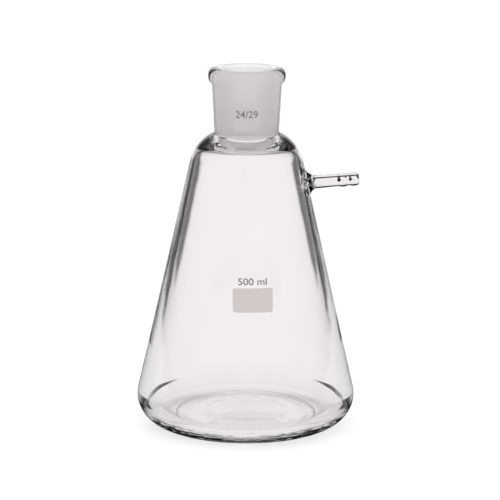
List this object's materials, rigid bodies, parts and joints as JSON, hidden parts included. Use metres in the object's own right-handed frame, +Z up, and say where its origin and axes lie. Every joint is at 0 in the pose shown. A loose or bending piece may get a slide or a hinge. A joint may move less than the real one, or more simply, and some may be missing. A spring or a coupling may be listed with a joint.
{
  "type": "filter flask",
  "caption": "Heavy-walled conical glass filter flask with a ground-glass socket at the neck, a side arm with barbs for vacuum hose and an enamel write-on patch.",
  "frame": {"origin": "centre of the foot ring, on the surface that the flask stands on", "axes": "+Z up along the flask's axis, +X towards the side arm, -Y towards the printed front"},
  "size_m": [0.1064, 0.105, 0.1725],
  "materials": {
    "clear_glass": "clear fire-polished borosilicate, faintly grey",
    "ground_glass": "clear tube and bead outside, ground to a fine frost in the bore",
    "enamel": null
  },
  "bodies": {
    "root": {"flask_body": "clear_glass", "ground_socket": "ground_glass", "side_arm": "clear_glass", "marking_patch": "enamel"}
  },
  "joints": []
}
